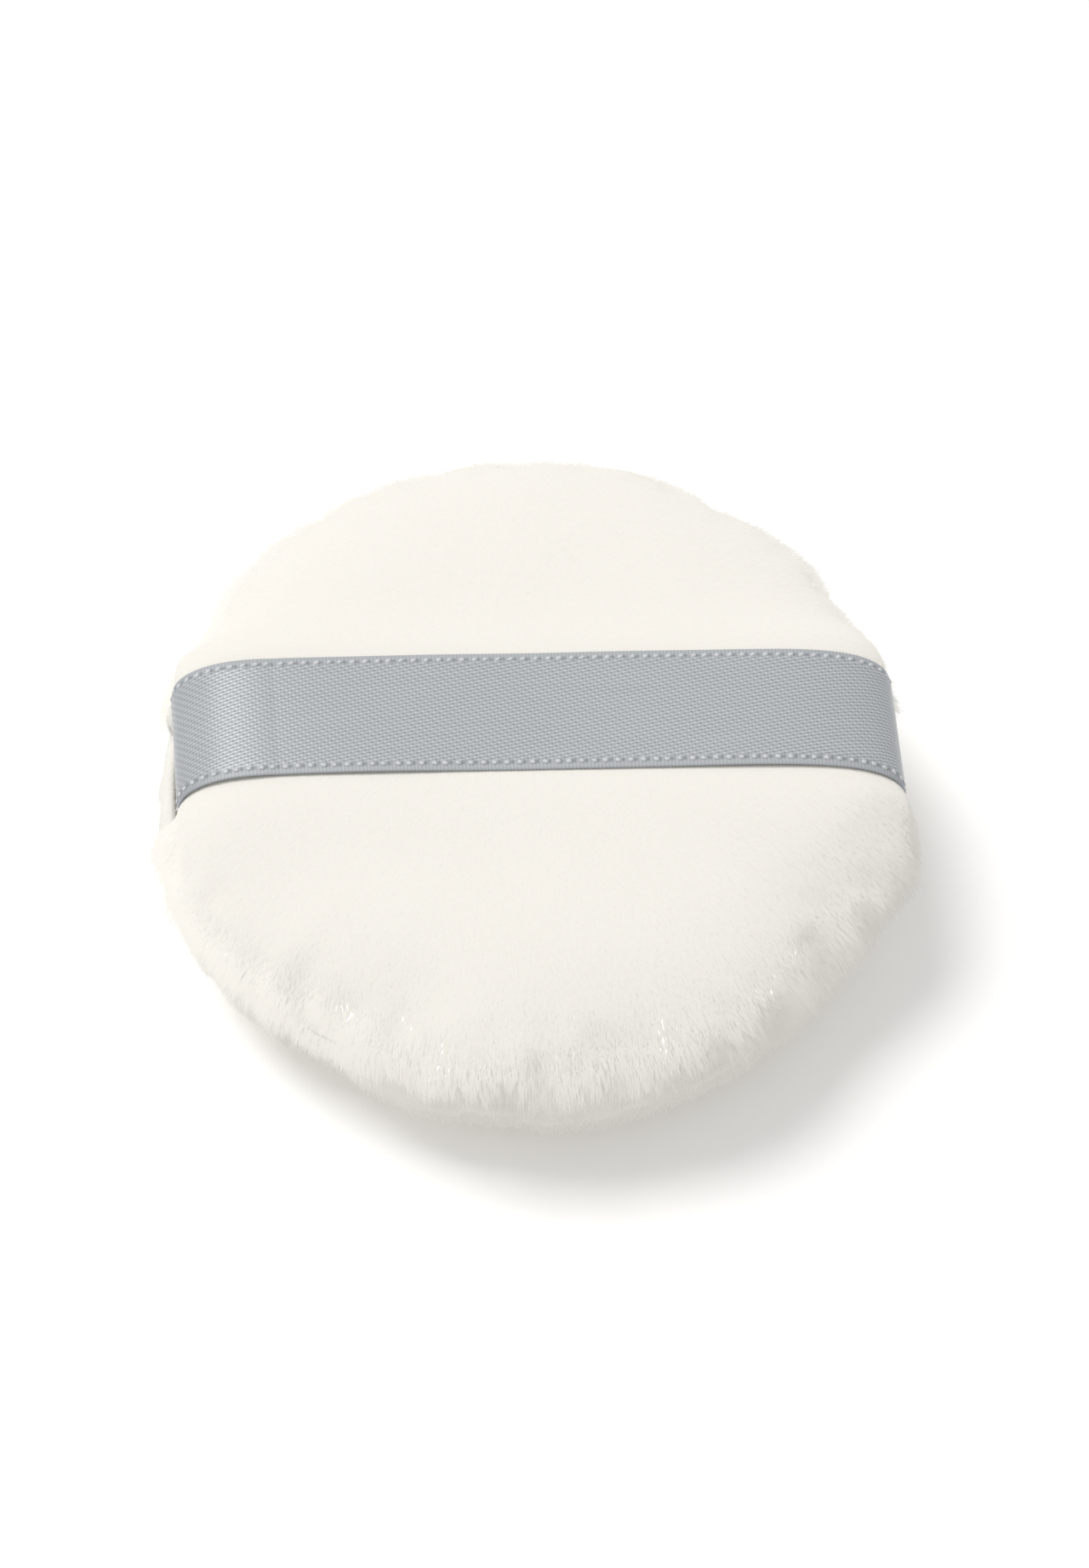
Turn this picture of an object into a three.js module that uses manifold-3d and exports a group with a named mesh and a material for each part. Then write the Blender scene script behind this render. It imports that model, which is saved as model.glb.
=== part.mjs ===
// Powder puff: two round pile panels sewn edge to edge over a foam disc, with a satin ribbon strap
// across the top. Millimetres, +Z up. The origin is the middle of the flat base, and the ribbon
// runs along X.
import * as THREE from "three";
import { mergeVertices } from "three/addons/utils/BufferGeometryUtils.js";
import Module from "manifold-3d";

// Driving dimensions

// The puff over its pile
const puffDiameter = 80;
const puffThickness = 25;
const baseDiameter = 46; // the part of the powder side that lies flat on a table
const bulgeHeight = 2.5; // the widest ring of each panel, above or below the seam
const sideFullness = 5; // exponent of the rounded edge: 2 is an ellipse, more is fuller
const coverThickness = 3.6; // pile and backing together

// The seam round the edge
const seamDraw = 1.6; // how far the stitching draws the edge in
const gatherCount = 24;
const gatherDepth = 0.35; // in and out of the edge where the panel is gathered
const seamAllowance = 5; // turned-in width of each panel
const allowanceThickness = 1.4;
const liningStand = 1; // upright stretch of the lining over the turned-in edge
const threadDiameter = 0.5;
const edgeMargin = 0.4; // cloth left outside the thread's groove

// The ribbon strap
const ribbonWidth = 15;
const ribbonThickness = 0.4;
const ribbonRise = 0.5; // underside of the strap over the crown
const ribbonInset = 2.1; // its upright ends, inside the widest ring
const ribbonFullness = 7; // exponent of its bend over the edge
const ribbonSplit = 5.5; // height over the seam where the moving span ends

// Clearance between pieces that touch
const fit = 0.3;

// Facets
const roundSegments = 48;
const crownSteps = 9;
const drawSteps = 3;
const liningSteps = 6;
const ribbonSteps = 22;
const threadSides = 6;

// Worked out from the driving dimensions, as radii round Z and heights over the seam

const puffRadius = puffDiameter / 2;
const baseRadius = baseDiameter / 2;
const halfThickness = puffThickness / 2;
const seamRadius = puffRadius - seamDraw;

// The two turned-in edges lie face to face. The ribbon's tails are pressed into the upper one,
// and the thread into the lower one.
const allowanceRadius = seamRadius - seamAllowance;
const allowanceLow = fit / 2;
const allowanceHigh = allowanceLow + allowanceThickness;
const tailHeight = allowanceLow + ribbonThickness / 2;
const tailRoof = tailHeight + ribbonThickness / 2 + fit;
const grooveOuter = seamRadius - gatherDepth - edgeMargin;
const grooveInner = grooveOuter - threadDiameter - 2 * fit;
const grooveDepth = threadDiameter + fit;
const threadRadius = (grooveOuter + grooveInner) / 2;
const threadHeight = -allowanceLow - threadDiameter / 2;

const liningRadius = puffRadius - coverThickness;
const liningHeight = halfThickness - coverThickness;
const liningBulge = allowanceHigh + liningStand;
const foamRadius = liningRadius - fit;
const foamHeight = liningHeight - fit;

const ribbonTop = halfThickness + ribbonRise + ribbonThickness / 2;
const ribbonReach = puffRadius - ribbonInset;

const finishes = {
  pile: new THREE.MeshStandardMaterial({ color: 0xf6f1e8, roughness: 0.95, metalness: 0 }),
  foam: new THREE.MeshStandardMaterial({ color: 0xf2ead8, roughness: 0.9, metalness: 0 }),
  ribbon: new THREE.MeshStandardMaterial({ color: 0xa7b1ba, roughness: 0.4, metalness: 0 }),
  thread: new THREE.MeshStandardMaterial({ color: 0xf0ebe0, roughness: 0.7, metalness: 0 }),
};

const wasm = await Module();
wasm.setup();

function at(x, height) {
  return new THREE.Vector2(x, height);
}

// A rounded edge from the middle at height `top` out to `radius` at height `bulge`. A flat radius
// of 0 leaves a crown that is domed all over.
function roundedEdge(radius, top, bulge, flatRadius, steps) {
  const flat = (flatRadius / radius) ** sideFullness;
  const points = flatRadius > 0 ? [at(0, top)] : [];
  for (let i = 0; i <= steps; i += 1) {
    const turn = (Math.PI / 2) * (i / steps) ** 2;
    const reach = flat + (1 - flat) * Math.sin(turn) ** 2;
    const height = bulge + (top - bulge) * Math.cos(turn);
    points.push(at(radius * reach ** (1 / sideFullness), height));
  }
  return points;
}

// The side under the bulge, drawn in to the seam.
function drawnSide() {
  const points = [];
  for (let i = 1; i <= drawSteps; i += 1) {
    const share = i / drawSteps;
    const height = bulgeHeight + (allowanceLow - bulgeHeight) * share;
    points.push(at(puffRadius - seamDraw * share ** 2, height));
  }
  return points;
}

// One panel's section from its crown, round the bulge, in along the turned edge and back up the
// lining to the axis. `groove` holds the points of a groove in the turned edge, if it has one.
function panelSection(flatRadius, groove) {
  const liningFlat = flatRadius * (liningRadius / puffRadius);
  const lining = roundedEdge(liningRadius, liningHeight, liningBulge, liningFlat, liningSteps);
  return [
    ...roundedEdge(puffRadius, halfThickness, bulgeHeight, flatRadius, crownSteps),
    ...drawnSide(),
    ...groove,
    at(allowanceRadius, allowanceLow),
    at(allowanceRadius, allowanceHigh),
    at(liningRadius, allowanceHigh),
    ...lining.reverse(),
  ];
}

// A section turned round Z, facing up (1) or down (-1) from the seam.
function revolve(section, facing) {
  const points = section.map((point) => at(point.x, point.y * facing));
  if (facing > 0) points.reverse();
  return new THREE.LatheGeometry(points, roundSegments).rotateX(Math.PI / 2);
}

// Gathers: the outer skin near the seam goes in and out round the edge, and fades out at the bulge.
function gather(geometry) {
  const position = geometry.getAttribute("position");
  for (let i = 0; i < position.count; i += 1) {
    const [x, y, z] = [position.getX(i), position.getY(i), position.getZ(i)];
    const radius = Math.hypot(x, y);
    const height = Math.abs(z);
    const outerSkin = radius > (grooveOuter + seamRadius) / 2;
    if (!outerSkin || height >= bulgeHeight) continue;
    const wave = Math.cos(gatherCount * Math.atan2(y, x));
    const fade = (bulgeHeight - height) / (bulgeHeight - allowanceLow);
    const share = 1 - (gatherDepth * wave * fade) / radius;
    position.setXYZ(i, x * share, y * share, z);
  }
  return geometry;
}

// The middle of the ribbon's thickness on the +X side: flat over the top, round the edge, then
// upright.
function ribbonBend() {
  const points = [];
  for (let i = 0; i <= ribbonSteps; i += 1) {
    const turn = (Math.PI / 2) * (i / ribbonSteps) ** 2;
    const height = bulgeHeight + (ribbonTop - bulgeHeight) * Math.cos(turn);
    points.push(at(ribbonReach * Math.sin(turn) ** (2 / ribbonFullness), height));
  }
  return points;
}

// The part of a falling line over a height (side 1) or under it (side -1).
function partOf(points, level, side) {
  const kept = [];
  points.forEach((point, i) => {
    const before = points[i - 1];
    if (before && (before.y - level) * (point.y - level) < 0) {
      kept.push(before.clone().lerp(point, (before.y - level) / (before.y - point.y)));
    }
    if ((point.y - level) * side >= 0) kept.push(point);
  });
  return kept;
}

// The line moved sideways by `distance`, to the left of its direction, with mitred corners.
function offsetLine(points, distance) {
  const last = points.length - 1;
  const headings = points.slice(1).map((point, i) => point.clone().sub(points[i]).normalize());
  return points.map((point, i) => {
    const before = headings[Math.max(i - 1, 0)];
    const after = headings[Math.min(i, last - 1)];
    const along = before.clone().add(after).normalize();
    const mitre = distance / along.dot(before);
    return at(point.x - along.y * mitre, point.y + along.x * mitre);
  });
}

// An outline in X and height, extruded across the ribbon's direction and centred on Y.
function across(outline, width) {
  const shape = new THREE.Shape(outline);
  const geometry = new THREE.ExtrudeGeometry(shape, { depth: width, bevelEnabled: false });
  return geometry.translate(0, 0, -width / 2).rotateX(Math.PI / 2);
}

function strip(points) {
  const upper = offsetLine(points, ribbonThickness / 2);
  const lower = offsetLine(points, -ribbonThickness / 2);
  return across([...lower, ...upper.reverse()], ribbonWidth);
}

// The +X geometry, or the same turned to the -X end.
function atEnd(geometry, end) {
  return end > 0 ? geometry : geometry.rotateZ(Math.PI);
}

// A closed geometry as a solid for cutting. Triangles that meet the axis in one point drop out.
function toSolid(geometry) {
  const bare = new THREE.BufferGeometry();
  bare.setAttribute("position", geometry.getAttribute("position"));
  bare.setIndex(geometry.index);
  const merged = mergeVertices(bare, 1e-3);
  const corners = merged.index.array;
  const triangles = [];
  for (let i = 0; i < corners.length; i += 3) {
    const [a, b, c] = corners.slice(i, i + 3);
    if (a !== b && b !== c && c !== a) triangles.push(a, b, c);
  }
  const mesh = new wasm.Mesh({
    numProp: 3,
    vertProperties: new Float32Array(merged.getAttribute("position").array),
    triVerts: new Uint32Array(triangles),
  });
  return new wasm.Manifold(mesh);
}

function cut(geometry, ...tools) {
  const rest = tools.reduce((solid, tool) => solid.subtract(toSolid(tool)), toSolid(geometry));
  const mesh = rest.getMesh();
  const result = new THREE.BufferGeometry();
  result.setAttribute("position", new THREE.BufferAttribute(mesh.vertProperties, 3));
  result.setIndex(new THREE.BufferAttribute(mesh.triVerts, 1));
  return result;
}

// The channel that the strap presses into the pile at one end, and the slot for its tail in the
// turned-in edge, clear of the ribbon all round.
function ribbonChannel(end) {
  const bend = ribbonBend().filter((point) => point.x > puffRadius / 2);
  const floor = offsetLine([...bend, at(ribbonReach, tailRoof)], -ribbonThickness / 2 - fit);
  const slotEnd = allowanceRadius - seamAllowance / 2;
  const beyond = puffRadius + coverThickness;
  const above = halfThickness + coverThickness;
  const below = -allowanceHigh;
  const outline = [
    ...floor,
    at(slotEnd, tailRoof),
    at(slotEnd, below),
    at(beyond, below),
    at(beyond, above),
    at(floor[0].x, above),
  ];
  return atEnd(across(outline, ribbonWidth + 2 * fit), end);
}

function topCover() {
  const panel = gather(revolve(panelSection(0, []), 1));
  return cut(panel, ribbonChannel(1), ribbonChannel(-1));
}

function bottomCover() {
  const groove = [
    at(grooveOuter, allowanceLow),
    at(grooveOuter, allowanceLow + grooveDepth),
    at(grooveInner, allowanceLow + grooveDepth),
    at(grooveInner, allowanceLow),
  ];
  return gather(revolve(panelSection(baseRadius, groove), -1));
}

// The foam disc fills the lining, with a groove round its edge for the two turned-in edges.
function foamCore() {
  const half = (flatRadius) => [
    ...roundedEdge(foamRadius, foamHeight, liningBulge, flatRadius, liningSteps),
    at(foamRadius, allowanceHigh + fit),
    at(allowanceRadius - fit, allowanceHigh + fit),
  ];
  const lower = half(baseRadius * (foamRadius / puffRadius)).reverse();
  return revolve([...half(0), ...lower.map((point) => at(point.x, -point.y))], 1);
}

function seamThread() {
  const section = [];
  for (let i = 0; i <= threadSides; i += 1) {
    const turn = (-2 * Math.PI * i) / threadSides;
    const x = threadRadius + (threadDiameter / 2) * Math.cos(turn);
    section.push(at(x, threadHeight + (threadDiameter / 2) * Math.sin(turn)));
  }
  return revolve(section, 1);
}

function ribbonSpan() {
  const right = partOf(ribbonBend(), ribbonSplit, 1);
  const left = right.slice(1).map((point) => at(-point.x, point.y));
  return strip([...left.reverse(), ...right]);
}

function ribbonEnd(end) {
  const side = partOf(ribbonBend(), ribbonSplit - fit, -1);
  return atEnd(strip([...side, at(ribbonReach, tailHeight), at(allowanceRadius, tailHeight)]), end);
}

function piece(name, geometry, finish) {
  const mesh = new THREE.Mesh(geometry, finish);
  mesh.name = name;
  return mesh;
}

const puff = new THREE.Group();
puff.position.z = halfThickness;
puff.add(
  piece("top_cover", topCover(), finishes.pile),
  piece("bottom_cover", bottomCover(), finishes.pile),
  piece("foam_core", foamCore(), finishes.foam),
  piece("seam_thread", seamThread(), finishes.thread),
  piece("ribbon_span", ribbonSpan(), finishes.ribbon),
  piece("ribbon_end_left", ribbonEnd(-1), finishes.ribbon),
  piece("ribbon_end_right", ribbonEnd(1), finishes.ribbon),
);

const part = new THREE.Group();
part.add(puff);

export default part;
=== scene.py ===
import math

import bpy
import numpy as np
from bpy.props import FloatProperty, FloatVectorProperty, PointerProperty
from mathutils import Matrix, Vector, noise
from mathutils.kdtree import KDTree


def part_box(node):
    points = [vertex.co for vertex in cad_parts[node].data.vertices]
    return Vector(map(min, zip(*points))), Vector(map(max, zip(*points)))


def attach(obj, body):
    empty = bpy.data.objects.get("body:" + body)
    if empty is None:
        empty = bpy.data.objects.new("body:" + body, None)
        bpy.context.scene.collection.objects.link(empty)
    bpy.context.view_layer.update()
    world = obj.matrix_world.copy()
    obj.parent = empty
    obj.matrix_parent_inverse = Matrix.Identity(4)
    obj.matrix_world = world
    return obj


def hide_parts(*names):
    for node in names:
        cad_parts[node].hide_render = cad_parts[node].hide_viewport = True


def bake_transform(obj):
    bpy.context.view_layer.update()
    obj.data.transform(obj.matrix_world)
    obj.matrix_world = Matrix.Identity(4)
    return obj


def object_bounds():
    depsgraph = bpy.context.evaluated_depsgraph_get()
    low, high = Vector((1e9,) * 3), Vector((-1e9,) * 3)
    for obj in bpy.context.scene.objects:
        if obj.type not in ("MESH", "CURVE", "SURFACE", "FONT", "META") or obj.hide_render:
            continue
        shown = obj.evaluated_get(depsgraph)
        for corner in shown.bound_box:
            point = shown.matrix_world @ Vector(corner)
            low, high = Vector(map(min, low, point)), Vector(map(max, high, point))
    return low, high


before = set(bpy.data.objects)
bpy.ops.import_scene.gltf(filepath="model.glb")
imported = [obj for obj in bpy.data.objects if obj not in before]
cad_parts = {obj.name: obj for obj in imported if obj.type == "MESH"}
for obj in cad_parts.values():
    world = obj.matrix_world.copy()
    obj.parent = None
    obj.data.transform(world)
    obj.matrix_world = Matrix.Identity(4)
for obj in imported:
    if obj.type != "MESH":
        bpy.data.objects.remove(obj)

bl_info = {
    "name": "Powder puff",
    "version": (1, 0, 0),
    "blender": (4, 5, 0),
    "location": "View3D > Sidebar > Puff",
    "description": "Builds a powder puff: two sewn pile panels over foam, with a satin ribbon strap",
    "category": "Object",
}

MM = 0.001

# Sizes that the frame gives

CAD_LOW, CAD_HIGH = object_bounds()
TOP_LOW, TOP_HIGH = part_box("top_cover")
_, BASE_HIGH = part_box("bottom_cover")
SPAN_LOW, SPAN_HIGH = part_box("ribbon_span")
END_LOW, END_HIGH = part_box("ribbon_end_right")
_, FOAM_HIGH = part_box("foam_core")
THREAD_LOW, THREAD_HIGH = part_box("seam_thread")

PUFF_RADIUS = CAD_HIGH.x
SEAM_HEIGHT = (TOP_LOW.z + BASE_HIGH.z) / 2
HALF_THICKNESS = TOP_HIGH.z - SEAM_HEIGHT
RIBBON_HALF_WIDTH = (SPAN_HIGH.y - SPAN_LOW.y) / 2
RIBBON_TOP = SPAN_HIGH.z - SEAM_HEIGHT
RIBBON_REACH = END_HIGH.x
TAIL_START = END_LOW.x
TAIL_FLOOR = END_LOW.z - SEAM_HEIGHT

# The ribbon's bend over the edge: its exponent, and how far it falls before it stands upright
BEND_FULLNESS = 8.5
BEND_DROP = 6.5 * MM
STRAP_BASE = RIBBON_TOP - BEND_DROP

# How far the ribbon runs askew, as a share of the way across it, and how far it is off the middle
STRAP_SKEW = 0.055
STRAP_SHIFT = 0.6 * MM

# A stitch of the ribbon's edge: half its length, width and height, its slant in radians and its sink
STITCH_SIZE = (0.34 * MM, 0.27 * MM, 0.15 * MM)
STITCH_SLANT = 0.6
STITCH_SINK = 0.03 * MM

# Where the cloth passes from under the ribbon to beside it: distances past the ribbon's edge
STRAP_COVER = (-1.1 * MM, -0.1 * MM)

# How far cloth and strands stay under the ribbon's outside
PRESSED_CLEARANCE = 0.75 * MM
SWOLLEN_CLEARANCE = 0.62 * MM
TIP_CLEARANCE = 0.38 * MM

# The swell beside the ribbon: its most, what the front of the ribbon's ends adds, and how it fades
STRAP_SWELL = 3.0 * MM
FRONT_SWELL = 0.8 * MM
FRONT_FADE = 7.0 * MM
BACK_FADE = 4.5 * MM

# Steps in which points settle against the ribbon, and the share of the way that each step goes
SETTLING_STEPS = 6
SETTLING_SHARE = 0.7

# Room over the ribbon's tails in the upper turned-in edge
TAIL_ROOM = 0.75 * MM

# Rings and segments of the meshes
CROWN_RINGS = 58
SIDE_RINGS = 6
LINING_RINGS = 16
PANEL_SEGMENTS = 288
FOAM_RINGS = 46
FOAM_SEGMENTS = 220

# Heights from the seam between which one kind of pile gives way to the next
EDGE_ZONE = (3.5 * MM, 8.0 * MM)
DRAPE_ZONE = (1.5 * MM, 4.0 * MM)
GLINT_ZONE = (4.5 * MM, 7.5 * MM)

# The way the pile is brushed, and the lowest that a strand reaches over the floor
BRUSHED_WAY = (0.15, -0.25, -1.0)
STRAND_FLOOR = 0.02 * MM

# Most strands in one piece: plain ones, and ones with a bend
STRAIGHT_STRANDS = 48000
BENT_STRANDS = 19500


class PanelSizes(bpy.types.PropertyGroup):
    """Sizes of the two pile panels."""

    pile_depth: FloatProperty(
        name="Pile depth", description="How far the backing lies under the outside of the pile",
        default=0.55 * MM, unit="LENGTH")
    base_share: FloatProperty(
        name="Base share", description="Share of the pile depth that is kept free under the base",
        default=0.35, subtype="FACTOR", min=0, max=1)
    bulge_height: FloatProperty(
        name="Bulge height", description="Widest ring of a panel, over or under the seam",
        default=2.5 * MM, unit="LENGTH")
    base_radius: FloatProperty(
        name="Base radius", description="Part of the powder side that lies flat",
        default=23 * MM, unit="LENGTH")
    fullness: FloatProperty(
        name="Side fullness",
        description="Exponent of the rounded edge: 2 is an ellipse, more is fuller", default=5.0)
    seam_draw: FloatProperty(
        name="Seam draw", description="How far the stitching draws the edge in",
        default=1.6 * MM, unit="LENGTH")
    seam_inset: FloatProperty(
        name="Seam inset", description="Backing under the pile at the seam",
        default=0.2 * MM, unit="LENGTH")
    lip_gap: FloatProperty(
        name="Lip gap", description="Clearance between a panel's lip and the middle of the seam",
        default=0.02 * MM, unit="LENGTH")
    ease: FloatProperty(
        name="Ease", description="Extra cloth round the side that the seam gathers in",
        default=0.04, subtype="FACTOR", min=0, max=0.2)
    pressure: FloatProperty(
        name="Pressure", description="Push of the filling against the cloth", default=4.0)
    most_swell: FloatProperty(
        name="Most swell", description="Furthest that the simulation may move the cloth",
        default=1.0 * MM, unit="LENGTH")
    lump_height: FloatProperty(
        name="Lump height", description="Soft unevenness of the stuffed panels",
        default=0.18 * MM, unit="LENGTH")
    tuft_height: FloatProperty(
        name="Tuft height", description="Unevenness of the fluffy side",
        default=0.4 * MM, unit="LENGTH")
    allowance: FloatProperty(
        name="Seam allowance", description="Turned-in width of each panel",
        default=5 * MM, unit="LENGTH")
    edge_thickness: FloatProperty(
        name="Edge thickness", description="Thickness of the turned-in edge",
        default=1.4 * MM, unit="LENGTH")
    lining_gap: FloatProperty(
        name="Lining gap", description="Clearance between the lining and the foam",
        default=0.3 * MM, unit="LENGTH")


class PileSizes(bpy.types.PropertyGroup):
    """Sizes of the pile's strands."""

    crown_length: FloatProperty(
        name="Crown length", description="Pile over the crown and the powder side",
        default=0.85 * MM, unit="LENGTH")
    edge_length: FloatProperty(
        name="Edge length", description="Pile round the side and the seam",
        default=1.4 * MM, unit="LENGTH")
    drape_length: FloatProperty(
        name="Drape length", description="Pile that hangs over the seam",
        default=2.4 * MM, unit="LENGTH")
    glint_length: FloatProperty(
        name="Glint length", description="Loose shiny fibres of the upper edge",
        default=0.65 * MM, unit="LENGTH")
    strand_width: FloatProperty(
        name="Strand width", description="Thickness of a strand at its root",
        default=0.1 * MM, unit="LENGTH")
    crown_density: FloatProperty(
        name="Crown density", description="Strands per square millimetre of the crown", default=42.0)
    edge_density: FloatProperty(
        name="Edge density", description="Strands per square millimetre of the side", default=20.0)
    base_density: FloatProperty(
        name="Base density", description="Strands per square millimetre of the powder side",
        default=14.0)
    glint_density: FloatProperty(
        name="Glint density", description="Shiny fibres per square millimetre where they are thickest",
        default=3.5)
    softness: FloatProperty(
        name="Softness", description="How far a strand is shaded as the cloth that it stands on",
        default=0.95, subtype="FACTOR", min=0, max=1)
    glow: FloatProperty(
        name="Glow", description="How far light from above spreads through the pile to its sides",
        default=0.9, subtype="FACTOR", min=0, max=1)


class RibbonSizes(bpy.types.PropertyGroup):
    """Sizes of the ribbon strap."""

    thickness: FloatProperty(
        name="Thickness", description="Thickness of the ribbon", default=0.24 * MM, unit="LENGTH")
    stitch_pitch: FloatProperty(
        name="Stitch pitch", description="From one edge stitch to the next",
        default=1.275 * MM, unit="LENGTH")
    hidden: FloatProperty(
        name="Hidden end", description="End of the ribbon inside the seam, without stitches",
        default=6 * MM, unit="LENGTH")
    stitch_inset: FloatProperty(
        name="Stitch inset", description="Row of stitches, in from the ribbon's edge",
        default=0.85 * MM, unit="LENGTH")
    weft_pitch: FloatProperty(
        name="Weft pitch", description="From one weft thread to the next along the ribbon",
        default=0.38 * MM, unit="LENGTH")
    warp_pitch: FloatProperty(
        name="Warp pitch", description="From one warp thread to the next across the ribbon",
        default=0.166 * MM, unit="LENGTH")


class PuffColours(bpy.types.PropertyGroup):
    """Colours of the puff's materials."""

    pile_tip: FloatVectorProperty(
        name="Pile tips", description="Pile at the tips of its strands",
        default=(0.985, 0.96, 0.905), subtype="COLOR", min=0, max=1)
    # Darker than the tips as painted shade at the strands' roots; the backing's darker clouds use it
    # too
    pile_root: FloatVectorProperty(
        name="Pile roots", description="Pile at its roots, and its backing",
        default=(0.955, 0.925, 0.865), subtype="COLOR", min=0, max=1)
    ribbon: FloatVectorProperty(
        name="Ribbon", description="Satin floats of the ribbon",
        default=(0.6, 0.62, 0.64), subtype="COLOR", min=0, max=1)
    ribbon_shade: FloatVectorProperty(
        name="Ribbon shade", description="Satin between its floats",
        default=(0.27, 0.295, 0.32), subtype="COLOR", min=0, max=1)
    foam: FloatVectorProperty(
        name="Foam", description="Soft filling",
        default=(0.9, 0.84, 0.71), subtype="COLOR", min=0, max=1)
    thread: FloatVectorProperty(
        name="Thread", description="Sewing thread",
        default=(0.88, 0.84, 0.76), subtype="COLOR", min=0, max=1)
    floor: FloatVectorProperty(
        name="Floor", description="Floor as the puff's light sees it",
        default=(0.94, 0.94, 0.94), subtype="COLOR", min=0, max=1)
    floor_shown: FloatVectorProperty(
        name="Floor in the picture",
        description="Floor as the camera sees it, bright enough to be white outside the shadow",
        default=(1.185, 1.185, 1.18), subtype="COLOR", min=0, max=2)


class StageSettings(bpy.types.PropertyGroup):
    """Camera and light."""

    elevation: FloatProperty(
        name="Camera elevation", description="Camera above the horizon",
        default=math.radians(54.2), subtype="ANGLE")
    azimuth: FloatProperty(
        name="Camera azimuth", description="Camera round the puff from the front",
        default=math.radians(-1.35), subtype="ANGLE")
    distance: FloatProperty(
        name="Camera distance", description="Camera from the middle of the puff",
        default=0.65, unit="LENGTH")
    lens: FloatProperty(
        name="Lens", description="Focal length in millimetres", default=141.0)
    offset: FloatProperty(
        name="Camera offset", description="Aim to the right of the puff's middle",
        default=1.45 * MM, unit="LENGTH")
    key_azimuth: FloatProperty(
        name="Key azimuth", description="Key light round the puff from the right",
        default=math.radians(142), subtype="ANGLE")
    key_elevation: FloatProperty(
        name="Key elevation", description="Key light above the horizon",
        default=math.radians(60), subtype="ANGLE")
    key_softness: FloatProperty(
        name="Key softness", description="Width of the key light in the sky",
        default=math.radians(32), subtype="ANGLE")
    key_strength: FloatProperty(
        name="Key strength", description="Key light's strength", default=1.577)
    key_colour: FloatVectorProperty(
        name="Key colour", description="Key light's colour",
        default=(1.0, 0.985, 0.96), subtype="COLOR", min=0, max=1)
    fill_strength: FloatProperty(
        name="Fill strength", description="Even light from all round", default=0.54)
    floor_radius: FloatProperty(
        name="Floor radius", description="How far the floor reaches", default=4.0, unit="LENGTH")


# Node maths


class Wire:
    """A node's output. Operators on wires and numbers add Math nodes."""

    def __init__(self, nodes, socket):
        self.nodes = nodes
        self.socket = socket

    def out(self, name):
        """Another output of the same node."""
        return Wire(self.nodes, self.socket.node.outputs[name])

    def __add__(self, other):
        return self.nodes.maths("ADD", self, other)

    def __sub__(self, other):
        return self.nodes.maths("SUBTRACT", self, other)

    def __rsub__(self, other):
        return self.nodes.maths("SUBTRACT", other, self)

    def __mul__(self, other):
        return self.nodes.maths("MULTIPLY", self, other)

    def __pow__(self, other):
        return self.nodes.maths("POWER", self, other)

    def __rpow__(self, other):
        return self.nodes.maths("POWER", other, self)

    __radd__ = __add__
    __rmul__ = __mul__


class Nodes:
    """A node tree under construction."""

    def __init__(self, tree):
        self.tree = tree
        tree.nodes.clear()

    def add(self, kind, settings=None, sockets=None, output=0):
        """A node of that type: its settings first, then its sockets' values or links."""
        node = self.tree.nodes.new(kind)
        for name, value in (settings or {}).items():
            setattr(node, name, value)
        for name, value in (sockets or {}).items():
            if isinstance(value, Wire):
                self.tree.links.new(value.socket, node.inputs[name])
            else:
                node.inputs[name].default_value = value
        return Wire(self, node.outputs[output]) if node.outputs else node

    def maths(self, operation, *values):
        return self.add("ShaderNodeMath", {"operation": operation}, dict(enumerate(values)))

    def sine(self, value):
        return self.maths("SINE", value)

    def cosine(self, value):
        return self.maths("COSINE", value)

    def mix(self, factor, first, second):
        """Colours, mixed by a factor."""
        sockets = {0: factor, 6: first, 7: second}
        return self.add("ShaderNodeMix", {"data_type": "RGBA"}, sockets, output=2)

    def noise(self, scale, detail=2.0, roughness=0.5, vector=None):
        place = vector or self.add("ShaderNodeTexCoord", output="Object")
        sockets = {"Vector": place, "Scale": scale, "Detail": detail, "Roughness": roughness}
        return self.add("ShaderNodeTexNoise", None, sockets)

    def attribute(self, name):
        return self.add("ShaderNodeAttribute", {"attribute_name": name}, output="Fac")

    def bump(self, height, strength, distance):
        sockets = {"Height": height, "Strength": strength, "Distance": distance}
        return self.add("ShaderNodeBump", None, sockets)

    def shows_background(self):
        """1 for a ray that shows the background: from the camera, mirrored or seen through."""
        seen = self.add("ShaderNodeLightPath", output="Is Camera Ray")
        shown = seen + seen.out("Is Glossy Ray") + seen.out("Is Transmission Ray")
        return self.maths("MINIMUM", shown, 1.0)

    def output(self, shader):
        self.add("ShaderNodeOutputMaterial", None, {"Surface": shader})


def colour(values, shade=1.0):
    """A property's colour as four numbers."""
    return (*(part * shade for part in values), 1.0)


def new_material(name):
    material = bpy.data.materials.new(name)
    material.use_nodes = True
    return material, Nodes(material.node_tree)


def principled(nodes, **sockets):
    named = {name.replace("_", " "): value for name, value in sockets.items()}
    nodes.output(nodes.add("ShaderNodeBsdfPrincipled", None, named))


# Finishes


def pile_finish(colours):
    """Velour strands: darker towards the root in painted shade, each strand a little different in tone,
    with a soft sheen.
    """
    material, nodes = new_material("velour_pile")
    along = nodes.attribute("along")
    tone = nodes.attribute("tone")
    cloud = nodes.noise(90.0, detail=3.0)
    # Darker towards the root: painted shade between the strands, which cast no shadow; tone and clouds
    # differ at random
    root_shade_and_tone = along * 0.75 + tone * 0.35 + (cloud - 0.5) * 0.4
    principled(
        nodes,
        Base_Color=nodes.mix(root_shade_and_tone, colour(colours.pile_root), colour(colours.pile_tip)),
        Roughness=0.95 - tone * 0.2,
        Specular_IOR_Level=0.2,
        Sheen_Weight=0.5,
        Sheen_Roughness=0.45,
    )
    return material


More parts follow.
